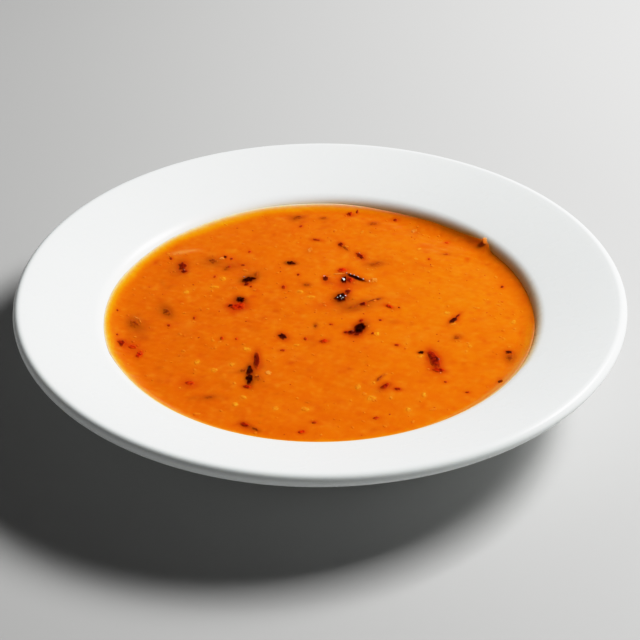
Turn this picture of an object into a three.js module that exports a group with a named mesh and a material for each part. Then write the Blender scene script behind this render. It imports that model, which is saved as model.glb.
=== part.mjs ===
// Tomato soup in a white wide-rimmed porcelain soup plate.
//
// Millimetres, +Z up. The origin is the centre of the foot ring's resting
// plane, so the plate stands on z = 0 and is round about Z. Two solids: the
// plate, and the soup that fills its well up to the level. Each is a turned
// profile; the soup's top then gets the shallow swells that a thick soup keeps.

import * as THREE from "three";
import { mergeVertices } from "three/addons/utils/BufferGeometryUtils.js";

// ---------------------------------------------------------------- dimensions

const SEGMENTS = 72; // facets around the plate

// lip: the rounded outer edge of the rim
const LIP_CENTRE_R = 112.5; // radius of the circle through the lip's core
const LIP_CENTRE_Z = 32.1;
const LIP_ROUND = 2.5; // so the plate is 230 across and 34.6 high
const LIP_STEPS = 8;

// rim: the wide flange, rising evenly to the lip
const RIM_SLOPE = 18.4; // degrees

// shoulder: the convex turn from the rim down into the well
const SHOULDER_CENTRE_R = 88.21;
const SHOULDER_CENTRE_Z = 18.21;
const SHOULDER_ROUND = 8.0;
const SHOULDER_STEPS = 6;

// well: a steep wall, a hollow fillet and a flat floor
const WALL_SLOPE = 64; // degrees
const FILLET_CENTRE_R = 61.5; // the fillet's centre, and the flat floor's radius
const FILLET_CENTRE_Z = 27.4;
const FILLET_ROUND = 20.0;
const FILLET_STEPS = 6;

// underside
const BODY_THICK = 4.6; // wall, shoulder and floor
const RECESS_Z = 2.8; // underside of the floor, inside the foot ring
const FOOT_INNER = 60.0; // the flat face that the plate rests on
const FOOT_OUTER = 64.4;
const FOOT_ROUND = 1.4; // eased edges of the foot ring
const FOOT_SIDE_R = 66.0; // the ring's outer side, where it meets the fillet's back
const FOOT_STEPS = 4;

// soup
const SOUP_GAP = 0.3; // air between the soup's solid and the glaze
const SOUP_CONTACT_ANGLE = 61; // where on the shoulder the soup's edge lies
const SOUP_EDGE_DROP = 1.3; // how far the open surface lies below its edge
const SOUP_EDGE_REACH = 5.1; // width of the rising edge
const SOUP_RINGS = [79.8, 78.3, 76.3, 73, 66, 56, 45, 33, 22, 11]; // top surface
const SWELLS = [
  // [height, wavelength, direction in degrees, phase]
  [0.1, 46, 20, 0.6],
  [0.08, 31, 105, 2.1],
  [0.06, 22, 158, 4.0],
  [0.05, 17, 64, 1.3],
];
const SWELL_FADE = [66, 78]; // the swells die out between these radii

// ------------------------------------------------------------------- helpers

const rad = THREE.MathUtils.degToRad;

// a point on a circle about (r, z); the angle is measured from straight down
// (0) outwards (90) for hollow curves, and from straight up (0) inwards (90)
// for the shoulder
const hollow = (round, degrees) =>
  new THREE.Vector2(
    FILLET_CENTRE_R + round * Math.sin(rad(degrees)),
    FILLET_CENTRE_Z - round * Math.cos(rad(degrees)),
  );
const shoulder = (round, degrees) =>
  new THREE.Vector2(
    SHOULDER_CENTRE_R - round * Math.sin(rad(degrees)),
    SHOULDER_CENTRE_Z + round * Math.cos(rad(degrees)),
  );

// count + 1 values from a to b
const spread = (a, b, count) =>
  Array.from({ length: count + 1 }, (_, i) => a + ((b - a) * i) / count);

// a quarter turn of radius `round` about (r, z), from one angle to another,
// angles measured from +r towards +z
const corner = (r, z, round, from, to, steps) =>
  spread(from, to, steps).map(
    (a) =>
      new THREE.Vector2(r + round * Math.cos(rad(a)), z + round * Math.sin(rad(a))),
  );

// the solid swept by a profile that starts and ends on the axis, stood on +Z
function turned(profile) {
  const geometry = new THREE.LatheGeometry(profile, SEGMENTS);
  geometry.rotateX(Math.PI / 2);
  return geometry;
}

// -------------------------------------------------------------------- plate

// back of the fillet: where it passes over the foot ring's outer side
const BACK_ROUND = FILLET_ROUND + BODY_THICK;
const BACK_START = THREE.MathUtils.radToDeg(
  Math.asin((FOOT_SIDE_R - FILLET_CENTRE_R) / BACK_ROUND),
);

function plateProfile() {
  // the rim's underside runs straight from the shoulder's back to the lip
  const shoulderBack = shoulder(SHOULDER_ROUND - BODY_THICK, RIM_SLOPE);
  const lipBelow = new THREE.Vector2(
    LIP_CENTRE_R + LIP_ROUND * Math.sin(rad(RIM_SLOPE)),
    LIP_CENTRE_Z - LIP_ROUND * Math.cos(rad(RIM_SLOPE)),
  );
  return [
    // underside of the floor
    new THREE.Vector2(0, RECESS_Z),
    new THREE.Vector2(FOOT_INNER - 2.6, RECESS_Z),
    new THREE.Vector2(FOOT_INNER - 1.5, RECESS_Z - 0.5),
    // foot ring
    ...corner(FOOT_INNER, 1.0, 1.0, 200, 270, 3),
    ...corner(FOOT_OUTER, FOOT_ROUND, FOOT_ROUND, 270, 350, FOOT_STEPS),
    // back of the fillet, the wall and the shoulder
    ...spread(BACK_START, WALL_SLOPE, FILLET_STEPS).map((a) => hollow(BACK_ROUND, a)),
    ...spread(WALL_SLOPE, RIM_SLOPE, 3).map((a) =>
      shoulder(SHOULDER_ROUND - BODY_THICK, a),
    ),
    // underside of the rim, then round the lip
    shoulderBack.clone().lerp(lipBelow, 0.5),
    ...corner(
      LIP_CENTRE_R,
      LIP_CENTRE_Z,
      LIP_ROUND,
      RIM_SLOPE - 90,
      RIM_SLOPE + 90,
      LIP_STEPS,
    ),
    // rim and shoulder
    ...spread(RIM_SLOPE, WALL_SLOPE, SHOULDER_STEPS).map((a) =>
      shoulder(SHOULDER_ROUND, a),
    ),
    // wall, fillet and floor
    ...spread(WALL_SLOPE, 0, FILLET_STEPS).map((a) => hollow(FILLET_ROUND, a)),
    new THREE.Vector2(0, FILLET_CENTRE_Z - FILLET_ROUND),
  ];
}

const plate = new THREE.Mesh(
  turned(plateProfile()),
  new THREE.MeshStandardMaterial({ color: 0xf3f4f1, roughness: 0.12, metalness: 0 }),
);
plate.name = "plate";

// --------------------------------------------------------------------- soup

const soupEdge = shoulder(SHOULDER_ROUND + SOUP_GAP, SOUP_CONTACT_ANGLE);

// level of the open surface without its swells: flat, rising to the edge
function level(r) {
  const reach = Math.max(0, soupEdge.x - r) / SOUP_EDGE_REACH;
  return soupEdge.y - SOUP_EDGE_DROP * (1 - Math.exp(-2.2 * reach));
}

function swell(x, y) {
  const fade =
    1 - THREE.MathUtils.smoothstep(Math.hypot(x, y), SWELL_FADE[0], SWELL_FADE[1]);
  let sum = 0;
  for (const [height, length, direction, phase] of SWELLS) {
    const along = x * Math.cos(rad(direction)) + y * Math.sin(rad(direction));
    sum += height * Math.sin((2 * Math.PI * along) / length + phase);
  }
  return sum * fade;
}

function soupProfile() {
  const floor = FILLET_CENTRE_Z - FILLET_ROUND + SOUP_GAP;
  return [
    // along the glaze, a gap above it
    new THREE.Vector2(0, floor),
    ...spread(0, WALL_SLOPE, FILLET_STEPS).map((a) => hollow(FILLET_ROUND - SOUP_GAP, a)),
    shoulder(SHOULDER_ROUND + SOUP_GAP, WALL_SLOPE),
    soupEdge,
    // the open surface
    ...SOUP_RINGS.map((r) => new THREE.Vector2(r, level(r))),
    new THREE.Vector2(0, level(0)),
  ];
}

function soupGeometry() {
  const geometry = turned(soupProfile());
  const lowest = soupEdge.y - SOUP_EDGE_DROP - 0.01; // only the top lies above this
  const position = geometry.attributes.position;
  for (let i = 0; i < position.count; i++) {
    const [x, y, z] = [position.getX(i), position.getY(i), position.getZ(i)];
    if (z > lowest && Math.hypot(x, y) < soupEdge.x - 0.5) {
      position.setZ(i, z + swell(x, y));
    }
  }
  geometry.deleteAttribute("normal");
  geometry.deleteAttribute("uv");
  const merged = mergeVertices(geometry, 1e-3);
  merged.computeVertexNormals();
  return merged;
}

const soup = new THREE.Mesh(
  soupGeometry(),
  new THREE.MeshStandardMaterial({ color: 0xe67a10, roughness: 0.25, metalness: 0 }),
);
soup.name = "soup";

// --------------------------------------------------------------------- part

const part = new THREE.Group();
part.name = "tomato_soup";
part.add(plate, soup);

export default part;
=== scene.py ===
"""Looks of the tomato soup in its rimmed porcelain plate.

The plate and the soup stand for the two CAD nodes of the same names. What
floats in the soup is made here: charred skin, pepper skin, chilli crumbs, herb
pieces, clear onion skin, pulp and drops of oil, one mesh piece a kind. The soup
itself stands against the wall in one small wave, with a lump of pulp on its crest.

Lengths in the tables are millimetres, and become metres in make(). Where a
fleck is placed by a point of the 640 x 640 frame, that point is carried down
the camera's ray onto the soup's level.
"""

import math

import bpy
import numpy as np
from mathutils import Matrix, Vector


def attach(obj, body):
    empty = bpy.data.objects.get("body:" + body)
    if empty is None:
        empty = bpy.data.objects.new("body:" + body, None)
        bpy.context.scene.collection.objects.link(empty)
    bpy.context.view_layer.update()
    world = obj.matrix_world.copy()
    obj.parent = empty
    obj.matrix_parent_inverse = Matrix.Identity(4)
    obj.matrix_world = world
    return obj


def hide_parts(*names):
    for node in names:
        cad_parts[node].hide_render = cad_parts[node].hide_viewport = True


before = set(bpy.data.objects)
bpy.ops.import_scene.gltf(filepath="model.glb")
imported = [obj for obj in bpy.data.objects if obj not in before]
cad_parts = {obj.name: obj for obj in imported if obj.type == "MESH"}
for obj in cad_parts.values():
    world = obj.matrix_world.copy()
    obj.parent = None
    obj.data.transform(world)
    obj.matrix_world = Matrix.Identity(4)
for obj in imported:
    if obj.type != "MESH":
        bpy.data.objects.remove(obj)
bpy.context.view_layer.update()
MM = 0.001
rad = math.radians

# ------------------------------------------------------------ named sizes (mm)

LIP_R, LIP_Z, LIP_ROUND = 112.5, 32.1, 2.5
RIM_SLOPE = 18.4
SHOULDER_R, SHOULDER_Z, SHOULDER_ROUND = 88.21, 18.21, 8.0
WALL_SLOPE = 64.0
FILLET_R, FILLET_Z, FILLET_ROUND = 61.5, 27.4, 20.0
THICK = 4.6
RECESS_Z = 2.8
FOOT_IN, FOOT_OUT, FOOT_SIDE = 60.0, 64.4, 66.0

CONTACT_ANGLE = 60.0  # where on the shoulder the soup's edge lies
EDGE_R = SHOULDER_R - SHOULDER_ROUND * math.sin(rad(CONTACT_ANGLE))  # 81.3
EDGE_Z = SHOULDER_Z + SHOULDER_ROUND * math.cos(rad(CONTACT_ANGLE))  # 22.2
LEVEL = EDGE_Z - 1.3  # the open surface, away from the edge
# The soup's edge rides up and down the wall. By the angle round the plate
# (degrees): the edge's radius, how far the surface sinks before it rises to the
# edge (mm), how wide that rise is (1 is the usual) and the share of it, next to
# the edge, that is one even slope. At 35 degrees a small wave was left standing
# against the wall.
EDGE_ROUND = [
    (-180, 82.2, 0.0, 1.0, 0.0), (-168, 82.5, 0.0, 1.0, 0.0), (-159, 82.8, 0.0, 1.0, 0.05),
    (-150, 82.2, 0.0, 0.85, 0.0), (-120, 81.5, 0.0, 0.62, 0.0), (-90, 81.2, 0.0, 0.6, 0.0),
    (-60, 81.4, 0.0, 0.62, 0.0), (-45, 81.7, 0.0, 0.68, 0.0), (-30, 82.15, 0.0, 0.85, 0.0),
    (-18, 81.85, 0.0, 0.9, 0.0), (-8, 81.5, 0.0, 1.0, 0.0), (0, 81.35, 0.1, 1.0, 0.0),
    (15, 81.35, 0.5, 1.0, 0.0), (27, 81.35, 0.7, 0.95, 0.0), (31.0, 81.4, 0.7, 0.9, 0.0),
    (32.2, 81.6, 0.55, 0.85, 0.1), (33.2, 82.1, 0.4, 0.78, 0.2), (34.0, 82.7, 0.2, 0.7, 0.3),
    (34.8, 83.05, 0.1, 0.66, 0.35), (35.8, 83.1, 0.1, 0.66, 0.35), (36.6, 82.95, 0.1, 0.66, 0.35),
    (37.5, 82.6, 0.25, 0.68, 0.3), (39.5, 82.15, 0.55, 0.7, 0.15), (42, 81.8, 0.8, 0.74, 0.0),
    (45, 81.5, 1.0, 0.78, 0.0), (50, 81.35, 1.1, 0.85, 0.0), (56, 81.3, 1.0, 1.0, 0.0),
    (62, 81.25, 0.75, 1.1, 0.0), (72, 81.35, 0.35, 1.05, 0.0), (84, 81.6, 0.05, 1.0, 0.0),
    (100, 81.6, 0.0, 1.0, 0.0), (120, 81.6, 0.0, 1.0, 0.0), (150, 81.4, 0.0, 1.0, 0.0),
    (168, 81.85, 0.0, 1.0, 0.0), (180, 82.2, 0.0, 1.0, 0.0),
]  # fmt: skip
RISE_MIN, RISE_PER = 1.2, 2.8  # width of the rising edge: at no height, and per mm of height

# ------------------------------------------------------------------- camera

ELEVATION, DISTANCE, AIM_Z, ROLL = 33.96, 627.0, 18.13, -0.29
FOCAL = 1634.8  # in pixels of the 640-pixel frame

_e, _r = rad(ELEVATION), rad(ROLL)
FWD = np.array([0.0, math.cos(_e), -math.sin(_e)])
_right, _up = np.array([1.0, 0, 0]), np.array([0.0, math.sin(_e), math.cos(_e)])
RIGHT = _right * math.cos(_r) + _up * math.sin(_r)
UP = -_right * math.sin(_r) + _up * math.cos(_r)
EYE = np.array([0, 0, AIM_Z]) - FWD * DISTANCE


def make_camera():
    data = bpy.data.cameras.new("camera")
    data.sensor_width = 36.0
    data.lens = FOCAL / 640.0 * 36.0
    data.clip_start, data.clip_end = 0.01, 50.0
    cam = bpy.data.objects.new("camera", data)
    bpy.context.scene.collection.objects.link(cam)
    m = Matrix.Identity(4)
    for i in range(3):
        m[i][0], m[i][1], m[i][2] = RIGHT[i], UP[i], -FWD[i]
        m[i][3] = EYE[i] * MM
    cam.matrix_world = m
    bpy.context.scene.camera = cam


def on_level(u, v, z=LEVEL):
    """The point (x, y) on the plane at height z that shows at (u, v)."""
    ray = FWD + RIGHT * (u - 320.0) / FOCAL - UP * (v - 320.0) / FOCAL
    t = (z - EYE[2]) / ray[2]
    return (EYE + ray * t)[:2]


def edge_at(phi):
    """Radius and height of the soup's edge at an angle round the plate (radians)."""
    table = np.array(EDGE_ROUND)
    r = np.interp(np.degrees(phi), table[:, 0], table[:, 1])
    r = r + 0.05 * np.cos(7 * phi) + 0.04 * np.cos(12 * phi + 2)
    return r, SHOULDER_Z + np.sqrt(SHOULDER_ROUND**2 - (SHOULDER_R - r) ** 2)


def calm_height(x, y):
    """Height of the soup's surface without its swells: level, rising to the edge."""
    phi = np.arctan2(y, x)
    er, ez = edge_at(phi)
    table = np.array(EDGE_ROUND)
    sunk = np.interp(np.degrees(phi), table[:, 0], table[:, 2])
    wide = np.interp(np.degrees(phi), table[:, 0], table[:, 3])
    even = np.interp(np.degrees(phi), table[:, 0], table[:, 4])
    r = np.hypot(x, y)
    low = LEVEL - sunk * smooth(58, 76, r)
    rise = ez - low
    inward = np.clip((er - r) / (wide * (RISE_MIN + RISE_PER * rise)), 0, 1)
    near, far = 1 - 2 * inward / (1 + even), (1 - inward) ** 2 / (1 - even**2)
    return low + rise * np.where(inward < even, near, far)


def on_soup(u, v):
    """Height of the soup where it shows at (u, v)."""
    z = LEVEL
    for _ in range(5):
        z = float(calm_height(*on_level(u, v, z)))
    return z


# ------------------------------------------------------------------- helpers


def waves(x, y, length, seed, count=40, spread=0.45):
    """Smooth noise of unit deviation: plane waves of about one wavelength."""
    rng = np.random.default_rng(seed)
    out = np.zeros_like(x, dtype=float)
    for _ in range(count):
        k = 2 * math.pi / (length * math.exp(rng.normal(0, spread)))
        a, p = rng.uniform(0, 2 * math.pi, 2)
        out += np.cos(k * (x * math.cos(a) + y * math.sin(a)) + p)
    return out * math.sqrt(2.0 / count)


def smooth(a, b, t):
    t = np.clip((t - a) / (b - a), 0, 1)
    return t * t * (3 - 2 * t)


def linear(*rgb):
    """A display colour (0 to 255) as scene-linear."""
    out = []
    for c in rgb:
        c = c / 255.0
        out.append(c / 12.92 if c <= 0.04045 else ((c + 0.055) / 1.055) ** 2.4)
    return np.array(out)


def make(name, verts, faces, mats, colour=None, face_mat=None):
    """A smooth mesh object; verts in mm, faces a list of index tuples."""
    mesh = bpy.data.meshes.new(name)
    mesh.from_pydata((np.asarray(verts) * MM).tolist(), [], faces)
    for m in mats:
        mesh.materials.append(m)
    mesh.polygons.foreach_set("use_smooth", [True] * len(mesh.polygons))
    if face_mat is not None:
        mesh.polygons.foreach_set("material_index", face_mat)
    if colour is not None:
        layer = mesh.color_attributes.new("tint", "FLOAT_COLOR", "POINT")
        rgba = np.ones((len(mesh.vertices), 4), np.float32)
        rgba[:, :3] = colour
        layer.data.foreach_set("color", rgba.ravel())
    mesh.validate()
    mesh.update()
    obj = bpy.data.objects.new(name, mesh)
    bpy.context.scene.collection.objects.link(obj)
    return obj


# ------------------------------------------------------------------ materials


class Nodes:
    """A short way to write a node tree."""

    def __init__(self, owner):
        owner.use_nodes = True
        self.tree = owner.node_tree
        self.tree.nodes.clear()

    def add(self, kind, **values):
        node = self.tree.nodes.new(kind)
        for key, value in values.items():
            if hasattr(node, key):
                setattr(node, key, value)
            else:
                node.inputs[key.replace("_", " ")].default_value = value
        return node

    def link(self, a, out, b, into):
        self.tree.links.new(a.outputs[out], b.inputs[into])


def principled(n, **sockets):
    shader = n.add("ShaderNodeBsdfPrincipled")
    for key, value in sockets.items():
        shader.inputs[key.replace("_", " ")].default_value = value
    out = n.add("ShaderNodeOutputMaterial")
    n.link(shader, "BSDF", out, "Surface")
    return shader


def noise(n, where, scale, detail=3.0, rough=0.5):
    node = n.add("ShaderNodeTexNoise", Scale=scale, Detail=detail, Roughness=rough)
    n.link(where, "Object", node, "Vector")
    return node


def spread(n, source, out, low, high, to_low, to_high):
    node = n.add("ShaderNodeMapRange")
    node.inputs["From Min"].default_value = low
    node.inputs["From Max"].default_value = high
    node.inputs["To Min"].default_value = to_low
    node.inputs["To Max"].default_value = to_high
    n.link(source, out, node, "Value")
    return node


def mix_colour(n, a, b, blend="MIX"):
    node = n.add("ShaderNodeMix", data_type="RGBA", blend_type=blend)
    node.inputs[6].default_value = (*a, 1.0)
    node.inputs[7].default_value = (*b, 1.0)
    return node


def porcelain():
    mat = bpy.data.materials.new("porcelain_glaze")
    n = Nodes(mat)
    where = n.add("ShaderNodeTexCoord")
    shader = principled(
        n,
        IOR=1.5,
        Subsurface_Weight=0.12,
        Subsurface_Radius=(1.0, 0.95, 0.85),
        Subsurface_Scale=0.0016,
        Specular_IOR_Level=0.22,
        Coat_Weight=0.02,
        Coat_Roughness=0.12,
        Coat_IOR=1.5,
    )
    # the body's white drifts a little under the glaze
    drift = noise(n, where, 16.0, 2.0)
    tone = mix_colour(n, (0.850, 0.884, 0.872), (0.836, 0.870, 0.860))
    n.link(spread(n, drift, "Fac", 0.35, 0.65, 0, 1), "Result", tone, 0)
    # the vertex tint: soup film on the glaze, partly painted orange bounce light from the soup
    film_and_bounce_tint = mix_colour(n, (1, 1, 1), (1, 1, 1), "MULTIPLY")
    film_and_bounce_tint.inputs[0].default_value = 1.0
    film = n.add("ShaderNodeVertexColor", layer_name="tint")
    n.link(tone, 2, film_and_bounce_tint, 6)
    n.link(film, "Color", film_and_bounce_tint, 7)
    n.link(film_and_bounce_tint, 2, shader, "Base Color")
    # finger-fine roughness changes and the glaze's long ripple
    wear = noise(n, where, 90.0, 4.0)
    n.link(spread(n, wear, "Fac", 0.3, 0.7, 0.24, 0.32), "Result", shader, "Roughness")
    ripple = noise(n, where, 70.0, 2.0)
    bump = n.add("ShaderNodeBump", Strength=0.05, Distance=0.0004)
    n.link(ripple, "Fac", bump, "Height")
    n.link(bump, "Normal", shader, "Normal")
    n.link(bump, "Normal", shader, "Coat Normal")
    return mat


def bare_porcelain():
    mat = bpy.data.materials.new("porcelain_bare_foot")
    n = Nodes(mat)
    where = n.add("ShaderNodeTexCoord")
    shader = principled(n, IOR=1.5)
    grain = noise(n, where, 2500.0, 3.0)
    tone = mix_colour(n, (0.74, 0.72, 0.68), (0.66, 0.64, 0.60))
    n.link(grain, "Fac", tone, 0)
    n.link(tone, 2, shader, "Base Color")
    n.link(spread(n, grain, "Fac", 0.3, 0.7, 0.7, 0.9), "Result", shader, "Roughness")
    bump = n.add("ShaderNodeBump", Strength=0.3, Distance=0.0001)
    n.link(grain, "Fac", bump, "Height")
    n.link(bump, "Normal", shader, "Normal")
    return mat


def soup_material():
    mat = bpy.data.materials.new("soup_surface")
    n = Nodes(mat)
    where = n.add("ShaderNodeTexCoord")
    shader = principled(
        n,
        IOR=1.34,
        Specular_IOR_Level=0.22,
        Subsurface_Weight=0.35,
        Subsurface_Radius=(1.0, 0.30, 0.05),
        Subsurface_Scale=0.0018,
    )
    tint = n.add("ShaderNodeVertexColor", layer_name="tint")
    # fine mottling of blended tomato under the level
    fine = noise(n, where, 420.0, 5.0, 0.6)
    mottled = mix_colour(n, (1, 1, 1), (1, 1, 1), "MULTIPLY")
    shade = mix_colour(n, (0.985, 0.94, 0.9), (1.012, 1.055, 1.1))
    n.link(spread(n, fine, "Fac", 0.36, 0.64, 0, 1), "Result", shade, 0)
    mottled.inputs[0].default_value = 1.0
    n.link(tint, "Color", mottled, 6)
    n.link(shade, 2, mottled, 7)
    n.link(mottled, 2, shader, "Base Color")
    film = noise(n, where, 160.0, 3.0)
    n.link(spread(n, film, "Fac", 0.3, 0.7, 0.10, 0.18), "Result", shader, "Roughness")
    grain = noise(n, where, 900.0, 4.0, 0.6)
    bump = n.add("ShaderNodeBump", Strength=0.08, Distance=0.00025)
    n.link(grain, "Fac", bump, "Height")
    n.link(bump, "Normal", shader, "Normal")
    return mat


def bit_material(name, rough, subsurface, radius, strength, gloss=0.03):
    """Bits in the soup: colour from the mesh, broken up by a fine noise."""
    mat = bpy.data.materials.new(name)
    n = Nodes(mat)
    where = n.add("ShaderNodeTexCoord")
    shader = principled(
        n,
        IOR=1.36,
        Specular_IOR_Level=gloss,
        Subsurface_Weight=subsurface,
        Subsurface_Radius=radius,
        Subsurface_Scale=0.0006,
    )
    tint = n.add("ShaderNodeVertexColor", layer_name="tint")
    fine = noise(n, where, 1500.0, 4.0, 0.6)
    shade = mix_colour(n, (0.8, 0.75, 0.7), (1.2, 1.25, 1.3))
    n.link(spread(n, fine, "Fac", 0.35, 0.65, 0, 1), "Result", shade, 0)
    mottled = mix_colour(n, (1, 1, 1), (1, 1, 1), "MULTIPLY")
    mottled.inputs[0].default_value = 1.0
    n.link(tint, "Color", mottled, 6)
    n.link(shade, 2, mottled, 7)
    n.link(mottled, 2, shader, "Base Color")
    n.link(
        spread(n, fine, "Fac", 0.3, 0.7, rough * 0.7, rough * 1.4),
        "Result",
        shader,
        "Roughness",
    )
    grain = noise(n, where, 1100.0, 4.0, 0.6)
    bump = n.add("ShaderNodeBump", Strength=strength, Distance=0.0003)
    n.link(grain, "Fac", bump, "Height")
    n.link(bump, "Normal", shader, "Normal")
    return mat


# --------------------------------------------------------------------- plate


def arc(r, z, round_, start, end, steps):
    """Points of an arc about (r, z), angles from +r towards +z."""
    a = np.radians(np.linspace(start, end, steps + 1))
    return [(r + round_ * math.cos(t), z + round_ * math.sin(t)) for t in a]


def turned(profile, segments):
    """Vertices and faces of the solid swept by a profile between axis points."""
    inner = profile[1:-1]
    phi = np.arange(segments) * 2 * math.pi / segments
    verts = [(0.0, 0.0, profile[0][1])]
    for r, z in inner:
        verts += [(r * math.cos(p), r * math.sin(p), z) for p in phi]
    verts.append((0.0, 0.0, profile[-1][1]))
    faces, last = [], len(verts) - 1
    ring = lambda i, j: 1 + i * segments + j % segments
    for j in range(segments):
        faces.append((0, ring(0, j + 1), ring(0, j)))
        faces.append((last, ring(len(inner) - 1, j), ring(len(inner) - 1, j + 1)))
    for i in range(len(inner) - 1):
        for j in range(segments):
            faces.append((ring(i, j), ring(i, j + 1), ring(i + 1, j + 1), ring(i + 1, j)))
    return np.array(verts), faces


def plate_profile():
    back = FILLET_ROUND + THICK
    start = math.degrees(math.asin((FOOT_SIDE - FILLET_R) / back))
    line = lambda a, b, n: [
        (a[0] + (b[0] - a[0]) * i / n, a[1] + (b[1] - a[1]) * i / n) for i in range(1, n)
    ]
    shoulder_back = arc(
        SHOULDER_R, SHOULDER_Z, SHOULDER_ROUND - THICK, 90 + WALL_SLOPE, 90 + RIM_SLOPE, 8
    )
    lip = arc(LIP_R, LIP_Z, LIP_ROUND, RIM_SLOPE - 90, RIM_SLOPE + 90, 28)
    shoulder = arc(
        SHOULDER_R, SHOULDER_Z, SHOULDER_ROUND, 90 + RIM_SLOPE, 90 + WALL_SLOPE, 18
    )
    fillet_back = arc(FILLET_R, FILLET_Z, back, -90 + start, -90 + WALL_SLOPE, 14)
    fillet = arc(FILLET_R, FILLET_Z, FILLET_ROUND, -90 + WALL_SLOPE, -90, 12)
    points = [(0.0, RECESS_Z), (20.0, RECESS_Z), (40.0, RECESS_Z), (54.0, RECESS_Z)]
    points += [(FOOT_IN - 2.6, RECESS_Z)]
    points += arc(FOOT_IN - 2.6, RECESS_Z - 1.4, 1.4, 90, 15, 5)[1:]
    points += arc(FOOT_IN, 0.9, 0.9, 190, 270, 6)
    points += line((FOOT_IN, 0.0), (FOOT_OUT, 0.0), 4)
    points += arc(FOOT_OUT, 1.4, 1.4, 270, 350, 7)
    points += arc(FOOT_SIDE + 0.75, 2.35, 0.95, 185, 118, 4)
    points += fillet_back[1:]
    points += line(fillet_back[-1], shoulder_back[0], 3)
    points += shoulder_back
    points += line(shoulder_back[-1], lip[0], 10)
    points += lip
    points += line(lip[-1], shoulder[0], 12)
    points += shoulder
    points += line(shoulder[-1], fillet[0], 4)
    points += fillet
    points += [(40.0, FILLET_Z - FILLET_ROUND), (20.0, FILLET_Z - FILLET_ROUND)]
    points += [(0.0, FILLET_Z - FILLET_ROUND)]
    return points


def make_plate():
    verts, faces = turned(plate_profile(), 288)
    r = np.hypot(verts[:, 0], verts[:, 1])
    phi = np.arctan2(verts[:, 1], verts[:, 0])
    # fired porcelain is never quite true: the rim rides up and down a little
    warp = 0.07 * np.cos(2 * phi + 0.8) + 0.04 * np.cos(3 * phi - 1.1)
    verts[:, 2] += warp * smooth(88, 115, r)
    near = np.array(NEAR_SAG)
    sag = np.interp(np.degrees(phi), near[:, 0], near[:, 1])
    top = verts[:, 2] > SHOULDER_Z
    verts[:, 2] -= sag * top * smooth(82.0, 83.6, r) * (1 - smooth(86, 106, r))
    # the film of soup oil on the glaze just above the soup, partly painted orange bounce light from the soup
    table = np.array(FILM_AND_BOUNCE_ROUND)
    up_wall = (r - np.minimum(edge_at(phi)[0], 81.9)) / np.interp(np.degrees(phi), table[:, 0], table[:, 1])
    film = np.stack(
        [np.interp(up_wall, [f[0] for f in FILM_AND_BOUNCE], [f[1][k] for f in FILM_AND_BOUNCE]) for k in range(3)], -1
    )
    film **= np.interp(np.degrees(phi), table[:, 0], table[:, 2])[:, None]
    outside = np.hypot(r - SHOULDER_R, verts[:, 2] - SHOULDER_Z) > SHOULDER_ROUND - 0.2
    film[~(outside & (verts[:, 2] > SHOULDER_Z) & (r > 78) & (r < SHOULDER_R))] = 1.0
    centre = np.array([verts[list(f)].mean(0) for f in faces])
    fr = np.hypot(centre[:, 0], centre[:, 1])
    bare = (centre[:, 2] < 0.12) & (fr > FOOT_IN - 1) & (fr < FOOT_OUT + 1.2)
    plate = make(
        "porcelain_plate",
        verts,
        faces,
        [porcelain(), bare_porcelain()],
        film,
        face_mat=bare.astype(int).tolist(),
    )
    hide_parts("plate")
    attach(plate, "root")
    return plate


# -------------------------------------------------------------- what is where

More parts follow.
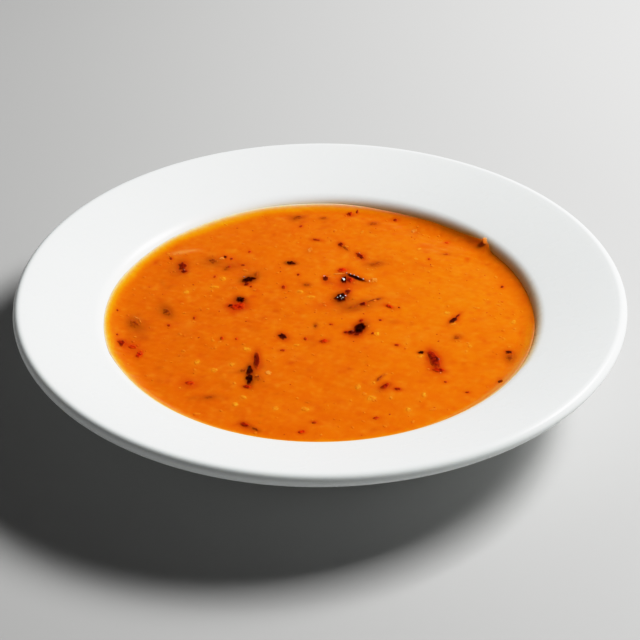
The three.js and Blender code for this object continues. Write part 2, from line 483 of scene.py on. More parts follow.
# Flecks: kind, u, v, length, width (pixels of the 640 frame), angle of the
# length (degrees, anticlockwise from the right), and where it isn't the usual,
# how light it is.
CHAR, PEPPER, DOT, HERB, SKIN, PULP = "char", "pepper", "dot", "herb", "skin", "pulp"
FLECKS = [
    # charred skin
    (CHAR, 248.9, 279.8, 13.5, 6.0, 14, 1.4),
    (CHAR, 240.6, 299.8, 9.2, 5.4, -6, 1.6),
    (PEPPER, 231.0, 305.8, 6.4, 2.6, 5, 0.35),
    (PEPPER, 282.7, 336.2, 9.2, 5.8, -18, 0.13),
    (PEPPER, 225.4, 257.0, 3.6, 3.0, 0, 0.3),
    (CHAR, 290.8, 263.0, 9.6, 3.2, -4, 3.0),
    (PEPPER, 325.7, 278.8, 6.2, 4.6, 0, 0.26),
    (CHAR, 355.9, 277.6, 20.0, 3.2, -18),
    (CHAR, 340.9, 297.9, 12.5, 9.0, 14),
    (CHAR, 359.9, 328.7, 14.8, 9.8, 40, 0.9),
    (PEPPER, 357.4, 334.2, 8.0, 2.8, 12, 0.35),
    (PEPPER, 351.6, 332.8, 11.0, 4.2, 6, 0.3),
    (PEPPER, 453.4, 320.7, 9.8, 5.2, 30, 0.16),
    (CHAR, 421.4, 352.5, 5.6, 2.6, -4),
    (PEPPER, 434.6, 360.0, 21.0, 9.2, -60, 0.7),
    (CHAR, 249.9, 371.0, 6.6, 9.8, 0, 1.7),
    (CHAR, 249.8, 379.5, 7.0, 10.6, 0, 1.7),
    (PEPPER, 508.8, 352.4, 7.0, 3.4, -8, 0.2),
    (PEPPER, 340.8, 244.6, 5.2, 4.0, -20, 0.6),
    (CHAR, 344.3, 279.8, 6.2, 5.8, 0),
    # pepper skin
    (PEPPER, 182.8, 266.5, 8.4, 8.6, 60, 0.5),
    (PEPPER, 237.8, 306.6, 16.0, 7.4, 6, 1.25),
    (PEPPER, 121.6, 343.0, 8.0, 6.0, -6, 0.75),
    (PEPPER, 139.2, 354.6, 7.4, 5.4, 40, 1.9),
    (PEPPER, 256.8, 360.8, 7.6, 16.0, 0, 0.5),
    (PEPPER, 246.8, 387.1, 8.4, 3.0, -4, 1.2),
    (DOT, 189.6, 382.8, 11.0, 5.2, -14, 1.25),
    (PEPPER, 436.4, 359.4, 6.6, 5.6, -30, 0.3),
    (PEPPER, 431.4, 355.0, 9.6, 7.0, -50, 0.95),
    (PEPPER, 438.6, 370.0, 13.0, 4.2, -6),
    (PEPPER, 385.2, 386.2, 10.0, 4.8, 26, 0.8),
    (PEPPER, 397.7, 389.2, 6.5, 2.8, -6),
    (PEPPER, 360.3, 255.6, 9.0, 4.2, -32, 0.7),
    (PEPPER, 348.0, 291.8, 6.6, 4.8, 20, 0.5),
    (PEPPER, 349.8, 279.8, 7.0, 5.2, -10),
    (PEPPER, 342.4, 270.4, 9.6, 4.4, 4, 1.5),
    (PEPPER, 346.2, 332.4, 4.6, 2.4, -5),
    (PEPPER, 361.3, 321.0, 4.2, 2.6, 10),
    (PEPPER, 389.2, 306.4, 8.0, 2.6, -22, 1.5),
    (PEPPER, 324.1, 341.3, 8.2, 3.4, 6, 1.3),
    (PEPPER, 244.7, 424.8, 8.6, 4.4, -18),
    (PEPPER, 301.7, 432.1, 6.2, 3.4, 0, 1.6),
    (PEPPER, 246.6, 284.5, 5.6, 2.4, 8, 0.6),
    (PEPPER, 184.6, 272.0, 6.4, 3.0, 0, 0.7),
    (PEPPER, 350.0, 214.2, 5.8, 3.2, 0),
    (DOT, 132.4, 347.2, 10.0, 4.4, -8, 1.5),
    # chilli crumbs
    (DOT, 214.9, 276.7, 3.2, 2.6, 0),
    (DOT, 251.1, 286.7, 2.8, 2.2, 0),
    (DOT, 298.3, 275.0, 3.6, 2.8, 0),
    (DOT, 283.7, 287.1, 5.4, 3.6, 0),
    (DOT, 194.3, 317.8, 3.4, 2.8, 0),
    (DOT, 168.9, 325.2, 4.2, 3.0, 0),
    (DOT, 221.8, 338.7, 4.2, 3.4, 0),
    (DOT, 236.4, 339.0, 3.2, 2.6, 0, 1.3),
    (DOT, 305.5, 338.4, 4.6, 3.2, 0),
    (DOT, 171.1, 258.6, 3.8, 2.8, -20),
    (DOT, 282.6, 349.8, 6.2, 2.4, 0),
    (DOT, 357.4, 211.8, 3.2, 3.0, 30),
    (DOT, 396.9, 345.2, 6.0, 2.8, -6),
    (DOT, 399.2, 307.8, 2.8, 1.9, -20),
    (DOT, 380.4, 320.0, 4.0, 2.2, 0),
    (DOT, 372.7, 333.3, 3.6, 2.8, 20),
    (DOT, 331.0, 324.7, 4.0, 2.0, -10),
    (DOT, 502.3, 286.9, 3.6, 3.2, 0, 0.55),
    (DOT, 445.6, 381.8, 3.6, 2.2, 0),
    (DOT, 500.4, 381.4, 5.4, 4.6, 0, 0.42),
    (DOT, 314.2, 422.7, 6.0, 2.4, 0),
    (DOT, 375.9, 418.2, 7.0, 3.0, 6),
    (DOT, 467.4, 392.0, 5.0, 2.2, 0),
    (DOT, 316.4, 240.0, 9.0, 2.0, -6),
    (DOT, 249.6, 251.5, 3.2, 2.6, 0, 1.5),
    (PEPPER, 363.0, 304.4, 7.6, 3.6, 6, 0.5),
    (DOT, 229.4, 266.6, 5.0, 2.2, 18),
    (DOT, 231.5, 258.5, 3.8, 2.6, 0),
    (DOT, 243.0, 264.8, 5.0, 2.0, 0),
    (DOT, 429.0, 259.5, 3.0, 2.0, 0, 1.5),
    (DOT, 447.0, 242.8, 4.4, 2.0, -4, 1.6),
    (DOT, 395.4, 220.2, 5.0, 2.4, 0),
    (DOT, 301.0, 226.6, 3.6, 2.4, 20),
    (DOT, 117.3, 334.6, 2.6, 2.2, 0),
    (DOT, 117.6, 310.2, 2.8, 2.0, 0),
    # herbs and onion, mostly sunk
    (HERB, 298.0, 217.7, 13.0, 4.6, 8),
    (HERB, 345.6, 248.0, 8.0, 2.8, -38),
    (HERB, 227.0, 268.0, 7.0, 3.4, 24),
    (HERB, 372.0, 300.6, 12.0, 1.8, 20),
    (HERB, 243.6, 371.0, 8.0, 4.0, 10),
    (HERB, 166.8, 311.8, 11.5, 7.0, -42),
    (HERB, 373.6, 223.9, 9.0, 3.6, 6),
    (HERB, 376.2, 264.2, 13.0, 4.4, 6),
    (HERB, 352.8, 307.4, 13.0, 3.4, 12),
    (HERB, 379.6, 378.3, 11.0, 2.8, 36),
    (HERB, 213.0, 261.0, 9.0, 5.0, -20),
    (HERB, 255.4, 429.4, 9.0, 3.0, -22),
    (HERB, 457.0, 337.6, 8.0, 4.4, 12),
    (HERB, 509.6, 357.6, 9.0, 7.0, 0, 0.8),
    (HERB, 256.0, 274.6, 6.0, 3.8, 40),
    (HERB, 323.9, 218.0, 7.0, 2.8, 0),
    (HERB, 209.0, 397.2, 10.0, 2.6, 4, 1.3),
    (HERB, 306.8, 285.2, 7.0, 3.2, 0),
    (HERB, 257.6, 378.4, 9.0, 6.0, -20),
    (HERB, 315.6, 325.8, 4.0, 4.2, 0),
    (HERB, 446.0, 254.5, 7.0, 3.0, 0, 1.5),
    # clear skins
    (HERB, 134.2, 323.4, 12.0, 9.0, -30, 1.1),
    (PEPPER, 457.8, 316.4, 6.0, 2.0, 40, 0.5),
    (SKIN, 140.0, 321.0, 6.0, 1.8, -62),
    (SKIN, 136.4, 317.6, 7.0, 1.8, -20),
    (SKIN, 374.2, 280.2, 9.0, 4.8, -8),
    (SKIN, 414.0, 230.9, 6.4, 4.0, 20, 0.8),
    (SKIN, 268.7, 372.8, 9.0, 4.6, -16),
    (SKIN, 222.0, 258.4, 6.0, 3.6, 0),
    (SKIN, 310.2, 250.2, 7.0, 4.6, 24),
    (HERB, 378.2, 299.0, 8.0, 2.4, 12),
    (SKIN, 374.4, 300.8, 6.0, 1.5, 14),
    (SKIN, 339.5, 274.0, 13.0, 1.6, 4),
    (SKIN, 330.0, 276.8, 7.0, 1.8, 12),
    # pulp that stands out
    (PULP, 305.2, 409.0, 8.0, 4.0, 0),
    (PULP, 235.2, 404.4, 6.0, 4.6, 10),
    (PULP, 275.4, 408.6, 6.0, 4.0, 0),
    (PULP, 214.4, 370.2, 6.6, 4.0, 0),
    (PULP, 243.6, 397.2, 6.6, 3.0, -14),
    (PULP, 246.8, 349.3, 8.0, 4.0, -4),
    (PULP, 371.6, 398.0, 9.0, 5.0, 6),
    (PULP, 408.3, 410.0, 5.0, 4.0, 10),
    (PULP, 358.0, 387.2, 6.0, 4.6, 0),
    (PULP, 390.9, 398.2, 3.4, 2.6, 0),
    (PULP, 376.6, 334.0, 5.0, 4.0, -20, 1.15),
    (PULP, 296.6, 344.6, 6.0, 2.0, 8),
    (PULP, 310.8, 297.0, 9.0, 2.6, 2),
    (PULP, 222.8, 278.8, 6.6, 4.0, 4),
    (PULP, 186.4, 292.6, 5.6, 3.8, 0),
    (PULP, 214.6, 287.4, 8.0, 2.8, 0),
    (PULP, 197.0, 361.8, 6.0, 4.4, 30),
    (PULP, 232.0, 364.6, 4.6, 3.6, 0),
    (PULP, 447.0, 313.0, 6.0, 2.8, 0),
    (PULP, 453.4, 324.2, 5.4, 2.2, 16),
    (PULP, 513.4, 322.0, 4.6, 3.4, 20, 0.95),
    (PULP, 423.8, 395.2, 4.4, 5.0, 0),
    (PULP, 420.2, 356.0, 6.0, 3.0, 14),
    (PULP, 300.0, 291.6, 6.0, 3.0, 0, 0.92),
    (PULP, 469.8, 346.6, 4.0, 3.0, 0),
    (PULP, 374.0, 383.0, 3.0, 2.4, 0),
]
# Stains just under the level: u, v, length, width, angle, colour, strength
RED, BROWN, OLIVE, PALE = (190, 48, 3), (176, 70, 4), (166, 80, 6), (254, 156, 66)
STAINS = [
    (180.0, 252.8, 15, 3.2, 9, PALE, 0.8),
    (191.5, 251.0, 14, 3.0, 5, PALE, 0.55),
    (137.6, 318.4, 8, 2.4, -30, PALE, 0.45),
    (155.7, 262.5, 9, 5, 0, RED, 0.45),
    (175.5, 246.6, 5, 3, 20, RED, 0.4),
    (163.0, 283.0, 5, 6, 0, BROWN, 0.3),
    (166.5, 288.4, 8, 5, 0, BROWN, 0.25),
    (180.0, 268.0, 22, 17, 0, OLIVE, 0.6),
    (362.0, 305.0, 46, 13, 14, OLIVE, 0.5),
    (352.8, 310.4, 16, 5, 5, BROWN, 0.5),
    (343.5, 306.6, 12, 5, 0, BROWN, 0.45),
    (342.4, 285.8, 17, 6, -5, RED, 0.6),
    (330.4, 282.8, 11, 4, 0, BROWN, 0.45),
    (417.0, 232.6, 8, 4, 0, BROWN, 0.4),
    (213.0, 262.0, 26, 12, 0, OLIVE, 0.6),
    (233.0, 265.5, 26, 10, 8, BROWN, 0.6),
    (251.0, 277.0, 24, 12, 14, OLIVE, 0.55),
    (237.0, 306.0, 27, 15, 4, RED, 0.65),
    (251.8, 296.0, 6, 3, 0, RED, 0.3),
    (276.0, 311.0, 9, 5, 0, RED, 0.35),
    (248.0, 321.0, 5, 3, 0, RED, 0.35),
    (166.7, 311.6, 20, 15, -40, OLIVE, 0.6),
    (137.0, 325.0, 23, 18, -30, OLIVE, 0.62),
    (144.0, 338.0, 12, 6, 0, BROWN, 0.35),
    (133.0, 347.4, 22, 10, -10, RED, 0.55),
    (121.6, 343.0, 12, 8, 0, BROWN, 0.5),
    (250.5, 375.0, 16, 24, 0, OLIVE, 0.5),
    (256.6, 361.0, 12, 18, 0, BROWN, 0.45),
    (262.0, 367.0, 13, 9, 0, BROWN, 0.45),
    (253.0, 358.6, 6, 5, 0, BROWN, 0.35),
    (326.0, 283.6, 8, 4, 0, RED, 0.35),
    (128.5, 353.4, 9, 4, -10, RED, 0.35),
    (264.0, 386.0, 16, 7, 0, BROWN, 0.25),
    (236.0, 373.0, 14, 3, 0, BROWN, 0.3),
    (189.0, 384.0, 20, 9, 0, RED, 0.5),
    (208.0, 397.4, 26, 6.5, 4, BROWN, 0.55),
    (224.7, 398.8, 10, 4, 0, BROWN, 0.25),
    (248.0, 427.0, 22, 7, -22, BROWN, 0.5),
    (171.0, 375.4, 5, 4, 0, RED, 0.3),
    (168.0, 381.0, 6, 4, 0, RED, 0.3),
    (290.7, 363.0, 10, 4, 0, RED, 0.45),
    (309.0, 369.9, 7, 5, 0, RED, 0.3),
    (313.4, 422.0, 12, 4, 0, RED, 0.4),
    (307.6, 402.0, 7, 3, 0, BROWN, 0.3),
    (260.6, 416.0, 7, 3, 0, BROWN, 0.3),
    (298.0, 217.7, 20, 9, 8, OLIVE, 0.45),
    (322.0, 218.5, 14, 5, 0, BROWN, 0.4),
    (301.0, 226.6, 7, 5, 0, BROWN, 0.3),
    (316.4, 240.0, 14, 4, -6, BROWN, 0.35),
    (309.0, 251.5, 10, 6, 0, BROWN, 0.35),
    (306.8, 285.2, 12, 6, 0, BROWN, 0.4),
    (315.6, 326.0, 6, 8, 0, BROWN, 0.35),
    (320.0, 306.0, 22, 8, -6, RED, 0.25),
    (350.0, 213.6, 14, 6, 0, RED, 0.4),
    (373.6, 224.2, 14, 6, 0, BROWN, 0.4),
    (371.0, 231.4, 5, 3, 0, BROWN, 0.3),
    (414.0, 231.4, 14, 10, 0, OLIVE, 0.32),
    (343.0, 247.0, 13, 8, -40, BROWN, 0.45),
    (361.0, 257.0, 14, 8, -30, BROWN, 0.45),
    (375.5, 264.6, 24, 9, 8, OLIVE, 0.55),
    (325.6, 279.4, 9, 7, 0, BROWN, 0.4),
    (345.5, 281.0, 22, 15, -10, RED, 0.6),
    (360.0, 283.0, 22, 9, -16, BROWN, 0.4),
    (342.0, 298.0, 20, 14, 10, BROWN, 0.55),
    (327.0, 304.0, 18, 7, 10, RED, 0.3),
    (358.0, 305.8, 32, 10, 12, OLIVE, 0.6),
    (357.5, 329.0, 24, 17, 30, RED, 0.5),
    (393.8, 321.8, 14, 5, 0, BROWN, 0.4),
    (390.0, 307.0, 12, 5, -20, RED, 0.35),
    (409.0, 296.0, 14, 5, -8, RED, 0.2),
    (406.0, 301.5, 16, 5, 0, RED, 0.18),
    (454.0, 320.0, 15, 8, 30, BROWN, 0.4),
    (462.0, 312.5, 9, 3, 20, BROWN, 0.25),
    (457.0, 337.6, 14, 7, 10, OLIVE, 0.35),
    (435.0, 361.0, 20, 21, -55, RED, 0.6),
    (428.0, 360.0, 8, 10, 0, BROWN, 0.3),
    (451.6, 362.7, 9, 4, 0, RED, 0.25),
    (474.9, 364.2, 5, 4, 0, RED, 0.25),
    (384.0, 387.0, 18, 9, 20, OLIVE, 0.5),
    (379.0, 379.0, 14, 5, 36, BROWN, 0.4),
    (395.5, 389.4, 14, 5, -8, RED, 0.35),
    (420.9, 381.5, 12, 4, 0, RED, 0.3),
    (421.7, 406.6, 5, 4, 0, RED, 0.3),
    (396.9, 430.0, 7, 4, 0, RED, 0.25),
    (361.0, 435.4, 8, 3, 0, BROWN, 0.3),
    (349.0, 368.7, 4, 3, 0, BROWN, 0.4),
    (365.5, 362.7, 5, 3, 0, BROWN, 0.3),
    (510.0, 356.5, 15, 16, 0, OLIVE, 0.65),
    (500.6, 381.6, 9, 6, 0, BROWN, 0.45),
    (467.6, 258.9, 5, 4, 0, RED, 0.5),
    (447.0, 242.4, 10, 4, 0, RED, 0.3),
    (446.0, 254.5, 14, 5, 0, BROWN, 0.3),
    (395.0, 220.0, 10, 4, 0, RED, 0.3),
    (478.0, 262.0, 12, 5, 0, BROWN, 0.15),
    (484.0, 272.0, 12, 6, 0, OLIVE, 0.16),
    (282.5, 336.5, 14, 8, -10, BROWN, 0.4),
    (240.5, 300.5, 13, 9, 0, BROWN, 0.4),
    (291.0, 263.4, 16, 7, 0, BROWN, 0.4),
]

# ---------------------------------------------------------------------- soup

LIT = 1.1  # how much brighter than its own colour a level surface shows
SOUP = linear(235, 111, 3) / LIT
SOUP_LEFT = linear(231, 107, 2) / LIT
# the soup's orange with painted sheen of the key light, which its right side takes on
SOUP_KEY_SHEEN = linear(243, 120, 3) / LIT
SOUP_PALE = linear(247, 142, 24) / LIT
SOUP_RUDDY = linear(206, 66, 3) / LIT
# colour where the soup thins out over the white wall: distance (mm), colour
THIN = [
    (0.0, (255, 228, 206)),
    (0.45, (254, 194, 140)),
    (0.9, (252, 171, 72)),
    (1.4, (250, 157, 20)),
    (1.9, (248, 149, 5)),
    (2.4, (245, 137, 3)),
    (3.0, (240, 124, 4)),
    (3.8, (235, 114, 5)),
    (5.0, (232, 107, 5)),
]
# how wide that band is, and how strong, by the angle round the plate (degrees); the strength is painted light:
# full on the left where the key light reaches through the thin soup, none on the shaded right
THIN_LIT_ROUND = [
    (-180, 1.05, 1.0), (-165, 1.1, 0.95), (-150, 0.9, 0.78), (-120, 0.9, 0.65), (-90, 1.3, 0.65),
    (-60, 0.85, 0.4), (-45, 0.9, 0.42), (-30, 0.85, 0.42), (-15, 0.7, 0.3), (-5, 0.6, 0.0), (58, 0.9, 0.0),
    (68, 1.0, 0.25), (78, 1.1, 0.55), (90, 1.3, 0.85), (105, 1.5, 1.0), (120, 1.55, 1.0),
    (150, 1.25, 1.0), (168, 1.05, 1.0), (180, 1.05, 1.0),
]  # fmt: skip
# how strongly a golden orange is painted just inside that edge, by the angle round the plate: painted light
# that lifts the shade of the rising edge on the near right
GOLD_LIFT_ROUND = [(-180, 0.0), (-85, 0.1), (-60, 0.5), (-45, 0.6), (-18, 0.6), (-5, 0.2), (5, 0.0), (180, 0.0)]
SOUP_GOLD = linear(255, 166, 0) / LIT
# how strongly shade is painted into that thin edge where the glaze beside it lies in shade, by the angle round
# the plate
PAINTED_SHADE_ROUND = [
    (-180, 0.0), (-10, 0.0), (0, 0.1), (15, 0.35), (30, 0.35), (38, 0.6), (45, 0.95), (60, 1.0),
    (70, 0.6), (80, 0.1), (90, 0.0), (180, 0.0),
]  # fmt: skip

# tint of the film that the soup leaves on the glaze, partly painted orange bounce light from the soup: height
# up the wall past its edge (mm, along the radius), and colour let through
FILM_AND_BOUNCE = [
    (0.0, (1.0, 0.50, 0.05)), (0.3, (1.0, 0.60, 0.16)), (0.6, (1.0, 0.71, 0.32)),
    (1.0, (1.0, 0.82, 0.57)), (1.5, (1.0, 0.92, 0.80)), (2.1, (1.0, 0.975, 0.94)), (2.8, (1.0, 1.0, 1.0)),
]  # fmt: skip
# how wide and how strong it is, by the angle round the plate (degrees); strong from the near side round to the
# shaded right, where it stands in for the soup's bounce light
FILM_AND_BOUNCE_ROUND = [
    (-180, 1.0, 0.03), (-160, 1.2, 0.04), (-150, 2.4, 0.2), (-130, 3.0, 0.45), (-60, 3.0, 0.65),
    (-45, 2.6, 0.85), (-30, 1.8, 0.9), (-12, 1.4, 0.85), (0, 1.4, 0.95), (15, 1.3, 1.0),
    (30, 1.1, 1.0), (38, 1.05, 0.9), (45, 0.95, 0.75), (60, 0.9, 0.65), (75, 0.8, 0.4),
    (90, 0.7, 0.16), (120, 0.8, 0.06), (150, 1.0, 0.02), (180, 1.0, 0.03),
]  # fmt: skip
# how much lower the shoulder rides (mm), by the angle round the plate (degrees)
NEAR_SAG = [(-180, 0.0), (-160, 0.1), (-145, 0.34), (-60, 0.38), (-40, 0.42), (-20, 0.1), (0, 0.0), (180, 0.0)]

SWELLS = [(0.1, 46, 20, 0.6), (0.08, 31, 105, 2.1), (0.06, 22, 158, 4.0), (0.05, 17, 64, 1.3)]

# colour of the wave against the wall: angle round the plate, radius, half width, stretch along the wall,
# colour, strength. The first row is a redder oil darkened with painted shade on the wave's shaded face; the
# others pale its thin crest.
SPLASH = [
    (37.6, 80.9, 1.9, 2.3, (214, 70, 1), 0.5),
    (34.9, 82.75, 0.75, 1.5, (252, 180, 90), 0.9),
    (36.4, 82.7, 0.55, 1.4, (250, 170, 76), 0.7),
]

CELLS, HALF = 760, 84.0  # the fields of height and colour: cells, half width (mm)


class Field:
    """Values over a square grid of the soup's surface."""

    def __init__(self, values):
        self.values = values

    def at(self, x, y):
        i = np.clip((np.asarray(x) + HALF) / (2 * HALF) * CELLS, 0, CELLS - 1e-6)
        j = np.clip((np.asarray(y) + HALF) / (2 * HALF) * CELLS, 0, CELLS - 1e-6)
        i0, j0 = i.astype(int), j.astype(int)
        a, b = i - i0, j - j0
        v = self.values
        if v.ndim > 2:
            a, b = a[..., None], b[..., None]
        low = v[i0, j0] * (1 - b) + v[i0, j0 + 1] * b
        high = v[i0 + 1, j0] * (1 - b) + v[i0 + 1, j0 + 1] * b
        return low * (1 - a) + high * a

    def dab(self, o, a, b, value, strength=1.0, power=2.0):
        """A soft ellipse with half axes a and b: adds to heights, mixes into colours."""
        reach = 2.0 * np.sqrt(np.asarray(a) ** 2 + np.asarray(b) ** 2) + 0.5
        lo = np.floor((o - reach + HALF) / (2 * HALF) * CELLS).astype(int)
        hi = np.ceil((o + reach + HALF) / (2 * HALF) * CELLS).astype(int) + 1
        lo, hi = np.clip(lo, 0, CELLS), np.clip(hi, 1, CELLS + 1)
        axis = lambda k: -HALF + np.arange(lo[k], hi[k]) * (2 * HALF / CELLS) - o[k]
        dx, dy = np.meshgrid(axis(0), axis(1), indexing="ij")
        m = np.linalg.inv(np.array([a, b]).T)
        q = (m[0, 0] * dx + m[0, 1] * dy) ** 2 + (m[1, 0] * dx + m[1, 1] * dy) ** 2
        w = strength * np.exp(-0.9 * q ** (power / 2))
        part = self.values[lo[0] : hi[0], lo[1] : hi[1]]
        if self.values.ndim > 2:
            part += (np.asarray(value) - part) * w[..., None]
        else:
            part += value * w


def ellipse_axes(u, v, length, width, angle):
    """Centre and the two half axes, on the level, of an ellipse of the frame."""
    c, s = math.cos(rad(angle)), math.sin(rad(angle))
    z = on_soup(u, v)
    o = on_level(u, v, z)
    a = on_level(u + c * length / 2, v - s * length / 2, z) - o
    b = on_level(u - s * width / 2, v - c * width / 2, z) - o
    return o, a, b


def turned_axes(r, stretch, angle):
    c, s = math.cos(angle), math.sin(angle)
    return r * stretch * np.array([c, s]), r * np.array([-s, c])


# kind: dark and light colour, halo colour, halo size and strength
LOOK = {
    CHAR: ((14, 1, 0), (50, 8, 1), (118, 30, 0), 1.3, 0.8),
    PEPPER: ((132, 12, 0), (184, 40, 0), (184, 52, 1), 1.35, 0.75),
    DOT: ((146, 30, 0), (190, 54, 0), (206, 76, 2), 1.5, 0.6),
    HERB: ((132, 42, 0), (172, 70, 1), (180, 78, 2), 1.25, 0.7),
    SKIN: ((222, 112, 12), (247, 146, 50), (226, 104, 5), 1.2, 0.25),
    PULP: ((242, 128, 8), (250, 148, 26), (244, 132, 12), 1.35, 0.6),
}


def make_fields():
    rng = np.random.default_rng(11)
    axis = np.linspace(-HALF, HALF, CELLS + 1)
    x, y = np.meshgrid(axis, axis, indexing="ij")
    r, phi = np.hypot(x, y), np.arctan2(y, x)
    er, _ = edge_at(phi)
    inward = np.maximum(0, er - r)

    # height: rising edge, slow swells, the small unevenness of thick soup
    z = calm_height(x, y)
    swell = np.zeros_like(z)
    for height, length, direction, phase in SWELLS:
        along = x * math.cos(rad(direction)) + y * math.sin(rad(direction))
        swell += height * np.sin(2 * math.pi * along / length + phase)
    calm = smooth(0.4, 3.0, inward)
    z += swell * (1 - smooth(70, 79.5, r))
    z += (0.03 * waves(x, y, 9.0, 3, 30) + 0.012 * waves(x, y, 4.2, 4, 30)) * calm
    heights = Field(z)

    # colour: from redder at the left to yellower at the right, in slow clouds, brightest right of the centre:
    # painted sheen of the key light
    side = 0.35 * smooth(-78, 62, x + 8 * waves(x, y, 55, 21, 12))
    side += 0.65 * np.exp(-((x - 48) ** 2 + (y - 8) ** 2) / (2 * 30.0**2))
    side = side[..., None]
    c = SOUP_LEFT + (SOUP_KEY_SHEEN - SOUP_LEFT) * side
    cloud = waves(x, y, 15, 22, 30)[..., None]
    c = c * (1 + cloud * np.array([0.012, 0.035, 0.03]))
    pale = np.clip(waves(x, y, 3.6, 23) - 0.8, 0, 1.4)[..., None]
    c = c + (SOUP_PALE - c) * 0.16 * pale
    ruddy = np.clip(waves(x, y, 5.5, 24) - 1.1, 0, 1.4)[..., None]
    c = c + (SOUP_RUDDY - c) * 0.14 * ruddy
    colours = Field(c)

    inside = lambda n, reach: reach * np.sqrt(rng.uniform(0, 1, n))
    # pulp under the level, then darker and redder specks under it
    n = 2300
    for pr, pa, size, s, t, k in zip(
        inside(n, 79), rng.uniform(0, 2 * math.pi, n), np.exp(rng.normal(math.log(0.72), 0.36, n)),
        rng.uniform(1, 1.8, n), rng.uniform(0, math.pi, n), rng.beta(1.3, 3.2, n),
    ):  # fmt: skip
        o = pr * np.array([math.cos(pa), math.sin(pa)])
        a, b = turned_axes(size, s, t)
        colours.dab(o, a, b, SOUP_PALE, 0.5 * k, 2.4)
        heights.dab(o, a, b, 0.022 * (0.4 + k))
    n = 420
    for pr, pa, size, s, t, k in zip(
        inside(n, 78), rng.uniform(0, 2 * math.pi, n), np.exp(rng.normal(math.log(0.8), 0.4, n)),
        rng.uniform(1, 2.4, n), rng.uniform(0, math.pi, n), rng.beta(1.2, 3.0, n),
    ):  # fmt: skip
        o = pr * np.array([math.cos(pa), math.sin(pa)])
        colour = SOUP_RUDDY if k * 7 % 1 < 0.6 else linear(196, 78, 3) / LIT
        colours.dab(o, *turned_axes(size, s, t), colour, 0.55 * k)

    for u, v, length, width, angle, colour, strength in STAINS:
        colours.dab(*ellipse_axes(u, v, length, width, angle), linear(*colour) / LIT, strength)
    for kind, u, v, length, width, angle, *tone in FLECKS:
        _, _, halo, grow, strength = LOOK[kind]
        halo = linear(*halo) / LIT * (max(1.0, tone[0]) ** 0.4 if tone and kind != CHAR else 1.0)
        o, a, b = ellipse_axes(u, v, length, width, angle)
        extra = 0.35 / max(0.2, math.sqrt(np.hypot(*a) * np.hypot(*b)))
        colours.dab(o, a * (grow + extra), b * (grow + extra), halo, strength, 3.2)
        heights.dab(o, a * 1.5, b * 1.5, 0.05 if kind in (CHAR, PEPPER) else 0.02)

    # the wave against the wall is thin: redder, with painted shade on its shaded face, pale at its crest
    for at, r_at, size, stretch, colour, strength in SPLASH:
        o = r_at * np.array([math.cos(rad(at)), math.sin(rad(at))])
        axes = turned_axes(size, stretch, rad(at + 90))
        colours.dab(o, *axes, linear(*colour) / LIT, strength)
    # the golden band of painted light, then the thin edge, over everything
    deg = np.degrees(phi)
    table = np.array(GOLD_LIFT_ROUND)
    gold_lift = np.interp(deg, table[:, 0], table[:, 1]) * np.exp(-(((inward - 1.8) / 1.5) ** 2))
    colours.values += (SOUP_GOLD - colours.values) * gold_lift[..., None]
    # painted light: the thin edge's pale colour is laid on by how much the key light reaches it round the
    # plate
    table = np.array(THIN_LIT_ROUND)
    wide = np.interp(deg, table[:, 0], table[:, 1])
    strong = np.interp(deg, table[:, 0], table[:, 2])
    wide *= 1 + 0.10 * np.sin(9 * phi + 1) + 0.06 * np.sin(23 * phi)
    d = inward / wide
    thin = np.stack(
        [np.interp(d, [t[0] for t in THIN], [linear(*t[1])[k] for t in THIN]) for k in range(3)], -1
    )
    w = (strong * (1 - smooth(2.2, 5.0, d)))[..., None]
    colours.values += (thin / LIT - colours.values) * w
    # painted shade: the soup darkens next to the shaded wall on the right
    table = np.array(PAINTED_SHADE_ROUND)
    painted_shade = np.interp(deg, table[:, 0], table[:, 1]) * (1 - smooth(0.8, 3.3, inward))
    colours.values *= 1 - 0.2 * painted_shade[..., None]
    colours.values = np.clip(colours.values, 0.0, 1.0)
    return heights, colours


def disc(n):
    """A grid of (n + 1)^2 points that fills the unit disc evenly, its faces, and its border in turn."""
    a = np.linspace(-1, 1, n + 1)
    s, t = np.meshgrid(a, a, indexing="ij")
    wide = np.abs(s) > np.abs(t)
    with np.errstate(divide="ignore", invalid="ignore"):
        r = np.where(wide, s, t)
        p = np.where(wide, math.pi / 4 * t / s, math.pi / 2 - math.pi / 4 * s / t)
    p = np.where(r == 0, 0, p)
    x, y = (r * np.cos(p)).ravel(), (r * np.sin(p)).ravel()
    i = np.arange((n + 1) ** 2).reshape(n + 1, n + 1)
    faces = np.stack([i[:-1, :-1], i[1:, :-1], i[1:, 1:], i[:-1, 1:]], -1).reshape(-1, 4)
    border = np.concatenate([i[:-1, 0], i[-1, :-1], i[:0:-1, -1], i[0, :0:-1]])
    return x, y, faces, border


